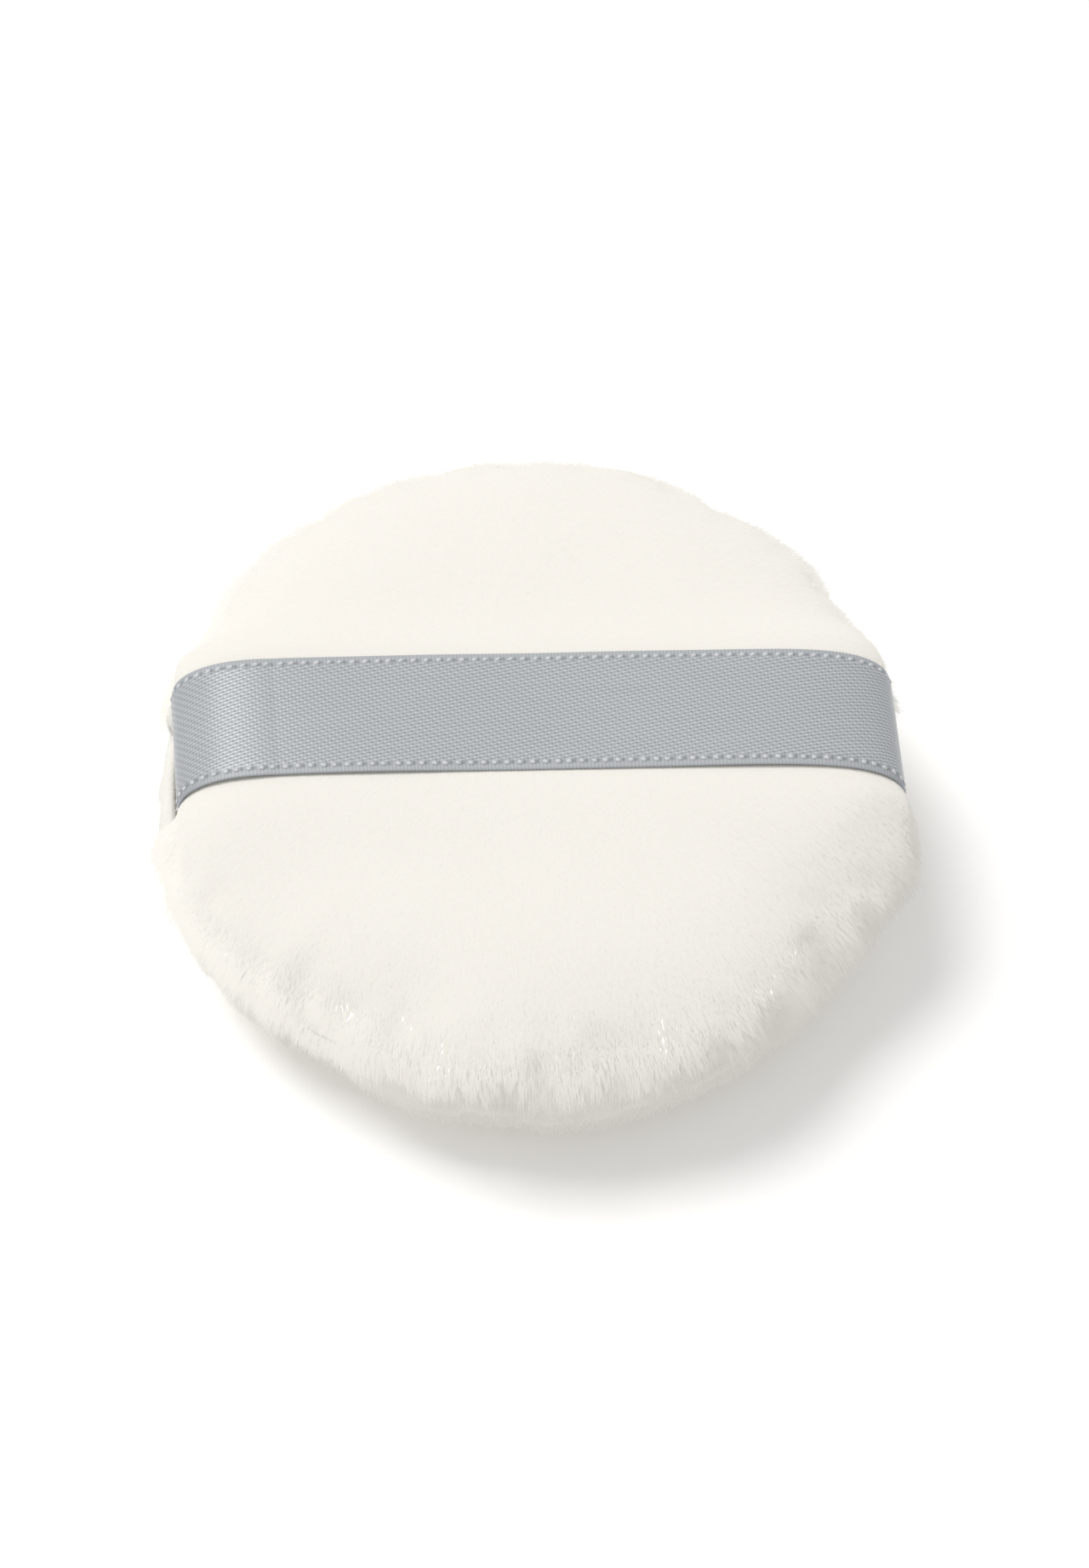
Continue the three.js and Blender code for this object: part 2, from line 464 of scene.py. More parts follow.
def backing_finish(colours):
    """The ground cloth under the strands: a fine nap, with clouds of darker and paler pile."""
    material, nodes = new_material("velour_backing")
    cloud = nodes.noise(140.0, detail=4.0, roughness=0.6)
    fine = nodes.noise(2600.0, detail=2.0)
    shade = cloud * 0.6 + fine * 0.4
    principled(
        nodes,
        Base_Color=nodes.mix(shade, colour(colours.pile_root, 0.94), colour(colours.pile_tip)),
        Roughness=0.9 + fine * 0.1,
        Specular_IOR_Level=0.2,
        Sheen_Weight=0.5,
        Sheen_Roughness=0.45,
        Normal=nodes.bump(fine, 0.5, 0.2 * MM),
    )
    return material


def glint_finish(colours):
    """Loose shiny fibres that catch the light."""
    material, nodes = new_material("shiny_fibre")
    tone = nodes.attribute("tone")
    principled(
        nodes,
        Base_Color=nodes.mix(tone, colour(colours.pile_tip, 0.96), (1.0, 1.0, 1.0, 1.0)),
        Roughness=0.12 + tone * 0.12,
        IOR=2.0,
        Coat_Weight=0.6,
        Coat_Roughness=0.1,
    )
    return material


def satin_finish(colours, sizes):
    """Satin weave: slanting rows of floats. The edge is plain, with a pit between each two stitches,
    darkened in painted shade; painted shade also darkens the steep bends.
    """
    material, nodes = new_material("satin_ribbon")
    place = nodes.add("ShaderNodeUVMap", {"uv_map": "Weave"})
    split = nodes.add("ShaderNodeSeparateXYZ", None, {"Vector": place})
    along, across = split, split.out("Y")
    turn = 2 * math.pi
    weft = along * (turn / sizes.weft_pitch)
    warp = across * (turn / sizes.warp_pitch)
    rows = warp * 0.4 - weft * 0.2
    steps = weft * 0.4 + warp * 0.2
    satin = nodes.cosine(rows) * 0.3 + nodes.cosine(steps) * 0.16 + nodes.cosine(weft) * 0.12
    row = RIBBON_HALF_WIDTH - sizes.stitch_inset
    off_row = nodes.maths("ABSOLUTE", across) - row
    inner = nodes.add("ShaderNodeMapRange", None, {
        "Value": off_row, "From Min": -0.35 * MM, "From Max": -0.15 * MM, "To Min": 1.0, "To Max": 0.0,
    })
    ribs = nodes.cosine(weft) * 0.12
    weave = 0.5 + satin * inner + ribs * (1 - inner)
    pit_reach = 0.2 * MM
    on_row = nodes.maths("EXPONENT", off_row * off_row * (-1 / pit_reach ** 2))
    gaps = 0.5 - nodes.cosine((along - sizes.hidden) * (turn / sizes.stitch_pitch)) * 0.5
    # Pits between the stitches: dented by the bump, and darker in colour as painted shade
    pit_depth_and_shade = on_row * gaps ** 3
    drawn_out = (90.0, 1500.0, 0.0)
    stretched = nodes.add("ShaderNodeVectorMath", {"operation": "MULTIPLY"}, {0: place, 1: drawn_out})
    streaks = nodes.noise(1.0, detail=3.0, vector=stretched)
    # The bend shade is painted shade: the satin is darker where the ribbon turns down steeply
    shade = weave + (streaks - 0.5) * 0.15 - pit_depth_and_shade * 0.7 - nodes.attribute("bend_shade") * 0.25
    principled(
        nodes,
        Base_Color=nodes.mix(shade, colour(colours.ribbon_shade), colour(colours.ribbon)),
        Metallic=0.06,
        Roughness=0.52 - weave * 0.14 + streaks * 0.06 - inner * 0.18,
        Specular_IOR_Level=0.34,
        Normal=nodes.bump(weave - pit_depth_and_shade, 0.6, 0.04 * MM),
    )
    return material


def stitch_finish(colours):
    """Loops of the ribbon's woven edge: twisted floss with a soft shine."""
    material, nodes = new_material("edge_stitch")
    place = nodes.add("ShaderNodeTexCoord", output="Object")
    split = nodes.add("ShaderNodeSeparateXYZ", None, {"Vector": place})
    twist_pitch = 0.16 * MM
    twist = nodes.sine((split + split.out("Y") * 0.6) * (2 * math.pi / twist_pitch))
    fleck = nodes.noise(900.0)
    shade = fleck + twist * 0.15
    principled(
        nodes,
        Base_Color=nodes.mix(shade, colour(colours.ribbon, 0.85), colour(colours.ribbon, 1.15)),
        Roughness=0.3 + fleck * 0.15,
        Specular_IOR_Level=0.9,
        Normal=nodes.bump(twist, 0.3, 0.04 * MM),
    )
    return material


def foam_finish(colours):
    """Open-cell foam: pale cell walls round pores, which are darker in painted shade."""
    material, nodes = new_material("soft_foam")
    place = nodes.add("ShaderNodeTexCoord", output="Object")
    sockets = {"Vector": place, "Scale": 900.0}
    cells = nodes.add("ShaderNodeTexVoronoi", {"feature": "DISTANCE_TO_EDGE"}, sockets)
    pore = nodes.add("ShaderNodeMapRange", None, {"Value": cells, "From Max": 0.25})
    cloud = nodes.noise(120.0, detail=3.0)
    # Darker in the pores: painted shade in the hollows; the clouds differ at random
    shade = pore * 0.6 + cloud * 0.3
    principled(
        nodes,
        Base_Color=nodes.mix(shade, colour(colours.foam), colour(colours.foam, 0.72)),
        Roughness=0.95 - pore * 0.1,
        Specular_IOR_Level=0.2,
        Normal=nodes.bump(1 - pore, 0.6, 0.3 * MM),
    )
    return material


def thread_finish(colours):
    """Spun thread with fine fibre streaks."""
    material, nodes = new_material("sewing_thread")
    fleck = nodes.noise(3200.0, detail=3.0)
    principled(
        nodes,
        Base_Color=nodes.mix(fleck, colour(colours.thread, 0.85), colour(colours.thread, 1.08)),
        Roughness=0.75 - fleck * 0.2,
        Specular_IOR_Level=0.3,
        Normal=nodes.bump(fleck, 0.4, 0.03 * MM),
    )
    return material


# Mesh helpers


def smooth_step(low, high, value):
    share = np.clip((value - low) / (high - low), 0, 1)
    return share * share * (3 - 2 * share)


def unit(vectors):
    return vectors / np.maximum(np.linalg.norm(vectors, axis=-1, keepdims=True), 1e-12)


def evenly(line, count):
    """A line of points again, with `count` points at even steps along it."""
    steps = np.linalg.norm(np.diff(line, axis=0), axis=1)
    run = np.concatenate([[0], np.cumsum(steps)])
    places = np.linspace(0, run[-1], count)
    return np.column_stack([np.interp(places, run, line[:, k]) for k in range(line.shape[1])])


def noise_at(points, scale, shift=0.0):
    """Smooth noise from -1 to 1 at each point."""
    moved = Vector((shift, shift, shift))
    return np.array([noise.noise(Vector(point) * scale + moved) for point in points])


def new_object(name, points, faces, material):
    """An object of those points and faces, all corners counted alike."""
    mesh = bpy.data.meshes.new(name)
    corners = faces.shape[1]
    mesh.vertices.add(len(points))
    mesh.vertices.foreach_set("co", points.astype(np.float32).ravel())
    mesh.loops.add(faces.size)
    mesh.loops.foreach_set("vertex_index", faces.astype(np.int32).ravel())
    mesh.polygons.add(len(faces))
    mesh.polygons.foreach_set("loop_start", np.arange(0, faces.size, corners, dtype=np.int32))
    mesh.update(calc_edges=True)
    mesh.validate()
    mesh.shade_smooth()
    made = bpy.data.objects.new(name, mesh)
    if material:
        made.data.materials.append(material)
    bpy.context.scene.collection.objects.link(made)
    return made


def grid_faces(rings, count, closed_rings=False):
    """Triangles between rows of points. Each row is closed, and so are the rows if asked."""
    row = np.arange(rings if closed_rings else rings - 1)[:, None] * count
    here = np.arange(count)[None, :]
    after = (here + 1) % count
    below = (row + count) % (rings * count)
    a, b, c, d = row + here, below + here, below + after, row + after
    first = np.stack([a, b, c], -1).reshape(-1, 3)
    second = np.stack([a, c, d], -1).reshape(-1, 3)
    return np.vstack([first, second])


def turned(section, segments):
    """A section of radii and heights, from axis to axis, turned round Z: its points and triangles."""
    angle = np.linspace(0, 2 * np.pi, segments, endpoint=False)
    rings = section[1:-1]
    x = np.outer(rings[:, 0], np.cos(angle))
    y = np.outer(rings[:, 0], np.sin(angle))
    z = np.repeat(rings[:, 1:], segments, axis=1)
    body = np.stack([x, y, z], -1).reshape(-1, 3)
    points = np.vstack([body, [[0, 0, section[0, 1]], [0, 0, section[-1, 1]]]])
    first, last = len(body), len(body) + 1
    here = np.arange(segments)
    after = (here + 1) % segments
    end = len(body) - segments
    start_fan = np.column_stack([np.full(segments, first), here, after])
    end_fan = np.column_stack([end + here, np.full(segments, last), end + after])
    return points, np.vstack([grid_faces(len(rings), segments), start_fan, end_fan])


# The panels


def rounded_edge(radius, top, bulge, flat_radius, fullness, count):
    """Radii and heights from the middle at height `top` out to `radius` at height `bulge`."""
    flat = (flat_radius / radius) ** fullness
    turn = np.linspace(0, np.pi / 2, 600) ** 2 / (np.pi / 2)
    reach = flat + (1 - flat) * np.sin(turn) ** 2
    line = np.column_stack([radius * reach ** (1 / fullness), bulge + (top - bulge) * np.cos(turn)])
    if flat_radius > 0:
        line = np.vstack([[0, top], line])
    return evenly(line, count)


def thread_groove(sizes):
    """The groove in the lower turned edge that the seam's thread lies in, as radii and heights."""
    half = (THREAD_HIGH.z - THREAD_LOW.z) / 2
    middle = THREAD_HIGH.x - half
    outer, inner = middle + half + sizes.lining_gap, middle - half - sizes.lining_gap
    gap = SEAM_HEIGHT - BASE_HIGH.z
    floor = SEAM_HEIGHT - THREAD_LOW.z + sizes.lining_gap
    return np.array([[outer, gap], [outer, floor], [inner, floor], [inner, gap]])


def panel_section(sizes, flat_radius):
    """One panel's section over the seam, and how many of its points are its outside."""
    depth = sizes.pile_depth
    edge_gap = TOP_LOW.z - SEAM_HEIGHT
    crown = rounded_edge(
        PUFF_RADIUS - depth, HALF_THICKNESS - depth, sizes.bulge_height, flat_radius, sizes.fullness,
        CROWN_RINGS)
    share = np.linspace(0, 1, SIDE_RINGS + 1)[1:]
    inset = depth + (sizes.seam_inset - depth) * share
    side = np.column_stack([
        PUFF_RADIUS - inset - sizes.seam_draw * share ** 2,
        sizes.bulge_height + (sizes.lip_gap - sizes.bulge_height) * share,
    ])
    outside = np.vstack([crown, side])
    turned_radius = PUFF_RADIUS - sizes.seam_draw - sizes.allowance
    lining_radius = FOAM_HIGH.x + sizes.lining_gap
    lining_height = FOAM_HIGH.z - SEAM_HEIGHT + sizes.lining_gap
    edge_height = edge_gap + sizes.edge_thickness
    plain = np.array([[turned_radius + sizes.allowance / 2, edge_gap]])
    turned_edge = np.vstack([
        thread_groove(sizes) if flat_radius > 0 else plain,
        [turned_radius, edge_gap],
        [turned_radius, edge_height],
        [lining_radius, edge_height],
    ])
    lining_flat = flat_radius * lining_radius / PUFF_RADIUS
    lining = rounded_edge(
        lining_radius, lining_height, edge_height + MM, lining_flat, sizes.fullness, LINING_RINGS)[::-1]
    return np.vstack([outside, turned_edge, lining]), len(outside)


def halved(grid):
    """Every second point of every second ring."""
    return grid[::2, ::2]


def doubled(grid):
    """A grid of closed rings with a point between each two points and a ring between each two rings."""
    middle = (grid + np.roll(grid, -1, axis=1)) / 2
    rings = np.stack([grid, middle], axis=2).reshape(len(grid), -1, 3)
    fine = np.empty((2 * len(rings) - 1, *rings.shape[1:]))
    fine[::2] = rings
    fine[1::2] = (rings[1:] + rings[:-1]) / 2
    return (np.roll(fine, 1, axis=1) + 2 * fine + np.roll(fine, -1, axis=1)) / 4


def swollen(points, faces, hold, tight, sizes):
    """Where a cloth's points lie once the filling has pushed it out and its seam holds it back."""
    # The draft is simulated at ten times its size
    scale = 10.0
    last_frame = 20
    draft = new_object("cloth_draft", points * scale, faces, None)
    for name, weights in (("Hold", hold), ("Tight", tight)):
        group = draft.vertex_groups.new(name=name)
        for index, weight in enumerate(weights):
            group.add([index], float(weight), "REPLACE")
    cloth = draft.modifiers.new("Cloth", "CLOTH")
    values = {
        "vertex_group_mass": "Hold", "vertex_group_shrink": "Tight", "shrink_min": -sizes.ease,
        "shrink_max": 0.0, "use_pressure": True, "uniform_pressure_force": sizes.pressure, "quality": 5,
        "mass": 0.3, "air_damping": 0.2, "tension_stiffness": 15, "compression_stiffness": 15,
        "shear_stiffness": 7.5, "bending_stiffness": 40, "tension_damping": 5, "compression_damping": 5,
        "shear_damping": 5, "bending_damping": 0.5}
    for name, value in values.items():
        setattr(cloth.settings, name, value)
    cloth.settings.effector_weights.gravity = 0
    cloth.collision_settings.use_collision = False
    cloth.point_cache.frame_start = 1
    cloth.point_cache.frame_end = last_frame
    scene = bpy.context.scene
    for number in range(1, last_frame + 1):
        scene.frame_set(number)
    shaped = draft.evaluated_get(bpy.context.evaluated_depsgraph_get()).data
    places = np.zeros(len(points) * 3, np.float32)
    shaped.vertices.foreach_get("co", places)
    scene.frame_set(1)
    bpy.data.objects.remove(draft)
    return places.reshape(-1, 3).astype(float) / scale


def gathered(grid, sizes):
    """Rings of a panel's outside, from the crown to the seam, gathered by a cloth simulation."""
    coarse = halved(grid)
    rings, count = coarse.shape[:2]
    points = coarse.reshape(-1, 3)
    here = np.arange(count)
    hub = np.column_stack([np.full(count, len(points)), here, (here + 1) % count])
    faces = np.vstack([grid_faces(rings, count), hub])
    points = np.vstack([points, points[:count].mean(axis=0)])
    tight = smooth_step(0, HALF_THICKNESS - MM, points[:, 2])
    hold = 0.75 * tight
    hold[(rings - 1) * count:rings * count] = 1.0
    move = (swollen(points, faces, hold, tight, sizes) - points)[:-1].reshape(coarse.shape)
    size = np.linalg.norm(move, axis=-1, keepdims=True)
    capped = move * np.minimum(1, sizes.most_swell / np.maximum(size, 1e-9))
    return grid + doubled(capped)


def strap_room(points, clearance):
    """Room of points to go out and stay `clearance` under the ribbon's outside, and the way out."""
    reach = RIBBON_REACH - clearance
    rise = BEND_DROP - clearance
    askew = points[:, 0] - STRAP_SHIFT + STRAP_SKEW * points[:, 1]
    x = np.abs(askew)
    h = np.maximum(points[:, 2] - STRAP_BASE, 0)
    value = (x / reach) ** BEND_FULLNESS + (h / rise) ** 2
    slope_x = BEND_FULLNESS / reach * (x / reach) ** (BEND_FULLNESS - 1)
    slope_h = 2 * h / rise ** 2
    way = unit(np.column_stack([np.sign(askew) * slope_x, np.zeros(len(x)), slope_h]))
    return (1 - value) / np.maximum(np.hypot(slope_x, slope_h), 1e-9), way


def under_strap(points, inner, outer):
    """From 1 under the ribbon to 0 beside it, between two distances from its edge."""
    return 1 - smooth_step(inner, outer, np.abs(points[:, 1]) - RIBBON_HALF_WIDTH)


def pressed_by_strap(points):
    """Points of the upper panel, pressed in where the ribbon crosses them."""
    pressed = points.copy()
    for _ in range(SETTLING_STEPS):
        room, way = strap_room(pressed, PRESSED_CLEARANCE)
        pressed = pressed + way * (np.minimum(room, 0) * SETTLING_SHARE)[:, None]
    weight = under_strap(points, *STRAP_COVER)[:, None]
    return points + (pressed - points) * weight


def swollen_beside_strap(points, normals):
    """Points of the upper panel, swollen up to the ribbon under it and on both sides of it."""
    front_side = (1 - smooth_step(4 * MM, 9 * MM, points[:, 2])) * (points[:, 1] < 0)
    clearance = SWOLLEN_CLEARANCE - FRONT_SWELL * front_side
    swell = np.zeros(len(points))
    for _ in range(SETTLING_STEPS):
        room, _ = strap_room(points + normals * swell[:, None], clearance)
        swell = np.clip(swell + room * SETTLING_SHARE, 0, STRAP_SWELL)
    fade = np.where(points[:, 1] < 0, FRONT_FADE, BACK_FADE)
    beside = np.maximum(np.abs(points[:, 1]) - RIBBON_HALF_WIDTH - MM, 0) / fade
    return points + normals * (swell * np.exp(-beside ** 2))[:, None]


# Soft dents of the crown's shoulder: x and y of the middle, width and depth
DENTS = (
    (-13.0 * MM, -33.0 * MM, 6.5 * MM, 0.9 * MM),
    (9.0 * MM, -36.0 * MM, 8.0 * MM, 0.5 * MM),
    (30.0 * MM, -22.0 * MM, 7.0 * MM, 0.45 * MM),
    (-34.0 * MM, 20.0 * MM, 7.0 * MM, 0.5 * MM),
    (17.0 * MM, 33.0 * MM, 10.0 * MM, 0.3 * MM),
)


# Where the rim is out of round: angle and spread in degrees, way out of the upper and the lower panel
RIM_PULLS = (
    (158, 8, -1.5 * MM, -0.8 * MM),
    (180, 12, -0.9 * MM, -0.6 * MM),
    (205, 14, 0.4 * MM, 0.4 * MM),
    (226, 3, 0.6 * MM, 0.5 * MM),
    (231, 2.5, -0.35 * MM, -0.7 * MM),
    (232, 11, -1.4 * MM, -1.2 * MM),
    (238, 2.5, -0.3 * MM, -0.6 * MM),
    (285, 25, 0.6 * MM, 0.4 * MM),
    (318, 12, -0.8 * MM, -0.4 * MM),
    (345, 9, -0.2 * MM, -0.1 * MM),
    (10, 13, -1.1 * MM, -1.0 * MM),
    (28, 11, -1.0 * MM, -0.6 * MM),
    (51, 7, -0.5 * MM, -0.3 * MM),
    (67, 7, 0.6 * MM, 0.3 * MM),
)


def out_of_round(points, sizes, facing):
    """Outside points, with the rim pulled in and out; the seam stays where it is."""
    angle = np.degrees(np.arctan2(points[:, 1], points[:, 0]))
    radial = points * (1, 1, 0)
    share = np.linalg.norm(radial, axis=1) / PUFF_RADIUS
    pull = np.zeros(len(points))
    for middle, spread, upper, lower in RIM_PULLS:
        away = (angle - middle + 180) % 360 - 180
        pull += (upper if facing > 0 else lower) * np.exp(-(away / spread) ** 2)
    weight = smooth_step(0.3 * MM, sizes.bulge_height, points[:, 2]) * share ** 6
    return points + unit(radial) * (pull * weight)[:, None]


def lumped(points, normals, sizes, facing):
    """Outside points moved along their normals by soft lumps and dents."""
    broad = noise_at(points, 1 / (17 * MM), 3.0 * facing)
    middling = noise_at(points, 1 / (7 * MM), 11.0 * facing)
    move = sizes.lump_height * (0.9 * broad + 0.45 * middling)
    if facing > 0:
        for x, y, width, depth in DENTS:
            away = np.hypot(points[:, 0] - x, points[:, 1] - y) / width
            move = move - depth * np.exp(-away ** 2 * 1.5)
    steady = smooth_step(0.3 * MM, 3.0 * MM, points[:, 2])
    tufts = noise_at(points, 1 / (3.2 * MM), 29.0 * facing)
    low = 1 - smooth_step(6 * MM, 10 * MM, points[:, 2])
    low = low * smooth_step(0.1 * MM, 1.2 * MM, points[:, 2])
    return points + normals * (move * steady + sizes.tuft_height * tufts * low)[:, None]


def bridged(points, normals):
    """Normals of the outside as if the pile bridged the crease of the seam."""
    height = points[:, 2:] - SEAM_HEIGHT
    near_seam = 1 - smooth_step(3.0 * MM, 6.0 * MM, np.abs(height))
    across = unit(unit(points * (1, 1, 0)) + height / (7 * MM) * (0, 0, 1))
    return unit(normals + (across - normals) * near_seam)


class Skin:
    """The outside of one panel, for the pile to stand on."""

    def __init__(self, points, normals, triangles, facing):
        self.points = points
        self.normals = normals
        self.triangles = triangles
        self.facing = facing


def point_normals(mesh):
    normals = np.zeros(len(mesh.vertices) * 3, np.float32)
    mesh.vertex_normals.foreach_get("vector", normals)
    return normals.reshape(-1, 3).astype(float)


def build_panel(name, node, facing, sizes, material):
    """One panel as a closed shell: outside, turned-in edge and lining."""
    flat_radius = 0.0 if facing > 0 else sizes.base_radius
    section, outside_rings = panel_section(sizes, flat_radius)
    points, faces = turned(section, PANEL_SEGMENTS)
    count = (outside_rings - 1) * PANEL_SEGMENTS
    outside = np.zeros(len(points), bool)
    outside[:count] = True
    outside[len(points) - 2] = True
    draft = new_object(name + "_draft", points, faces, None)
    normals = point_normals(draft.data)
    bpy.data.objects.remove(draft)
    skin = lumped(points[outside], normals[outside], sizes, facing)
    skin = out_of_round(skin, sizes, facing)
    rings = skin[:count].reshape(outside_rings - 1, PANEL_SEGMENTS, 3)
    skin[:count] = gathered(rings, sizes).reshape(-1, 3)
    if facing > 0:
        skin = swollen_beside_strap(skin, normals[outside])
        skin = pressed_by_strap(skin)
    else:
        skin[:, 2] = np.minimum(skin[:, 2], HALF_THICKNESS - sizes.base_share * sizes.pile_depth)
    points[outside] = skin
    if facing > 0:
        over_tail = under_strap(points, -0.5 * MM, 0.3 * MM) * (np.abs(points[:, 0]) > TAIL_START - MM)
        points[:, 2] = np.maximum(points[:, 2], over_tail * (TAIL_FLOOR + TAIL_ROOM))
    points[:, 2] = SEAM_HEIGHT + facing * points[:, 2]
    faces = faces if facing > 0 else faces[:, ::-1]
    panel = new_object(name, points, faces, material)
    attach(panel, "puff")
    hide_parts(node)
    on_skin = outside[faces].all(axis=1)
    return Skin(points, bridged(points, point_normals(panel.data)), faces[on_skin], facing)


# The pile


def sown(skin, density, rng):
    """Roots spread over a skin by its density at each point: triangles, and their corners' weights."""
    first, second, third = np.moveaxis(skin.points[skin.triangles], 1, 0)
    area = np.linalg.norm(np.cross(second - first, third - first), axis=1) / 2
    total = np.cumsum(area * density[skin.triangles].mean(axis=1))
    count = int(total[-1])
    spot = (np.arange(count) + rng.random(count)) / count * total[-1]
    chosen = np.minimum(np.searchsorted(total, spot), len(total) - 1)
    pair = rng.random((count, 2))
    over = pair.sum(axis=1) > 1
    pair[over] = 1 - pair[over]
    return skin.triangles[chosen], np.column_stack([1 - pair.sum(axis=1), pair])


def between(values, triangle, weights):
    """A value of the skin's points, read between the corners of triangles."""
    return np.einsum("nk,nk...->n...", weights, values[triangle])


def tufted(roots, tips, strands_a_tuft, pull, rng):
    """Tips drawn together into tufts."""
    count = max(1, len(roots) // strands_a_tuft)
    heads = rng.choice(len(roots), count, replace=False)
    tree = KDTree(count)
    for index, head in enumerate(heads):
        tree.insert(roots[head], index)
    tree.balance()
    nearest = heads[[tree.find(root)[1] for root in roots]]
    return tips + (tips[nearest] - tips) * pull[:, None]


def strand_arrays(roots, tips, sag, width, shading, softness, roll, rng):
    """Closed flat strands, broad side out: points, triangles, normals and each point's share along."""
    count = len(roots)
    axis = unit(tips - roots)
    outward = unit(shading - axis * np.einsum("nk,nk->n", shading, axis)[:, None])
    across = np.cross(axis, outward)
    turn = rng.normal(0, roll, (count, 1)) + np.radians([-70, 70, 180])
    ring = 0.2 * np.cos(turn)[..., None] * outward[:, None] + np.sin(turn)[..., None] * across[:, None]
    levels = [(0.0, 1.0)] if sag is None else [(0.0, 1.0), (0.55, 0.8)]
    rows, shades, shares = [], [], []
    for share, girth in levels:
        centre = roots + (tips - roots) * share
        rows.append(centre[:, None] + ring * (width * girth / 2)[:, None, None])
        shades.append(unit(shading[:, None] * softness + ring * (1 - softness)))
        shares.append(np.full((count, 3), share))
    end = tips if sag is None else tips + sag
    rows.append(end[:, None])
    shades.append(unit(shading * softness + axis * (1 - softness))[:, None])
    shares.append(np.ones((count, 1)))
    each = 3 * len(levels) + 1
    faces = [(0, 2, 1)]
    for level in range(len(levels) - 1):
        for k in range(3):
            a, b = 3 * level + k, 3 * level + (k + 1) % 3
            faces += [(a, b, b + 3), (a, b + 3, a + 3)]
    last = 3 * (len(levels) - 1)
    faces += [(last + k, last + (k + 1) % 3, each - 1) for k in range(3)]
    triangles = (np.arange(count)[:, None, None] * each + np.array(faces)).reshape(-1, 3)
    return (
        np.concatenate(rows, axis=1).reshape(-1, 3),
        triangles,
        np.concatenate(shades, axis=1).reshape(-1, 3),
        np.concatenate(shares, axis=1).reshape(-1),
        each,
    )


def strand_object(name, roots, tips, sag, width, shading, tone, softness, roll, material, rng):
    """One piece of pile, with its shading normals, its tones and a map seen from above."""
    points, faces, shades, shares, each = strand_arrays(
        roots, tips, sag, width, shading, softness, roll, rng)
    points[:, 2] = np.maximum(points[:, 2], STRAND_FLOOR)
    made = new_object(name, points, faces, material)
    mesh = made.data
    mesh.normals_split_custom_set_from_vertices(shades)
    for label, values in (("along", shares), ("tone", np.repeat(tone, each))):
        layer = mesh.attributes.new(label, "FLOAT", "POINT")
        layer.data.foreach_set("value", values.astype(np.float32))
    from_above = mesh.uv_layers.new(name="OFBake")
    flat = 0.5 + points[:, :2] / (2.3 * PUFF_RADIUS)
    from_above.uv.foreach_set("vector", flat[faces.ravel()].astype(np.float32).ravel())
    # The panel under the strands casts the shadow and spreads the light for them
    made.visible_shadow = False
    made.visible_diffuse = False
    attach(made, "puff")


def grow_pile(name, skin, density, length, sizes, style, material, rng):
    """Strands over a skin, in pieces that each cover a sector of the puff."""
    triangle, weights = sown(skin, density, rng)
    roots = between(skin.points, triangle, weights)
    normals = unit(between(skin.normals, triangle, weights))
    lay = between(style["nap"], triangle, weights) * style["lean"]
    count = len(roots)
    jitter = rng.normal(0, style["scatter"], (count, 3))
    heading = unit(normals + lay + jitter)
    rise = np.einsum("nk,nk->n", heading, normals) * style["flat"]
    heading = unit(heading - normals * rise[:, None])
    long = between(length, triangle, weights) * np.clip(rng.normal(1, style["uneven"], count), 0.4, 1.9)
    tips = roots + heading * long[:, None]
    tips = tufted(roots, tips, style["strands_a_tuft"], style["pull"] * rng.random(count), rng)
    if skin.facing > 0:
        level = tips - (0, 0, SEAM_HEIGHT)
        room, _ = strap_room(level, TIP_CLEARANCE)
        covered = under_strap(tips, 0, 0.3 * MM)
        tips = tips + normals * (np.minimum(room, 0) * covered)[:, None]
    sag = None
    if style["sag"] > 0:
        droop = rng.normal(0, 1, (count, 3)) + (0, 0, -0.8)
        sag = unit(droop) * (long * style["sag"] * rng.random(count))[:, None]
    width = sizes.strand_width * style["girth"] * rng.uniform(0.75, 1.2, count)
    roots = roots - normals * style["sink"]
    tone = np.clip(rng.normal(0.5, 0.22, count), 0, 1)
    tilt = rng.normal(0, style["sparkle"], (count, 3)) * (0.4, 0.4, 1.4)
    tilt[:, 2] = np.abs(tilt[:, 2])
    shading = unit(normals + (0, 0, sizes.glow) + tilt)
    order = np.argsort(np.arctan2(roots[:, 1], roots[:, 0]), kind="stable")
    pieces = math.ceil(count / style["strands_a_piece"])
    for number, part in enumerate(np.array_split(order, pieces), start=1):
        part_sag = None if sag is None else sag[part]
        strand_object(
            f"{name}_{number}", roots[part], tips[part], part_sag, width[part], shading[part],
            tone[part], sizes.softness, style["roll"], material, rng)


def nap(skin, swirl, shift):
    """The way the pile is brushed at each point: from the crown down to the base, with soft swirls."""
    radial = skin.points * (1, 1, 0)
    reach = np.linalg.norm(radial, axis=1, keepdims=True)
    outward = radial / np.maximum(reach, 12 * MM)
    turns = np.column_stack([noise_at(skin.points, 1 / (9 * MM), shift + 13.0 * k) for k in range(3)])
    way = outward * skin.facing + BRUSHED_WAY + turns * swirl
    way = way - skin.normals * np.einsum("nk,nk->n", way, skin.normals)[:, None]
    return unit(way)


# The ribbon


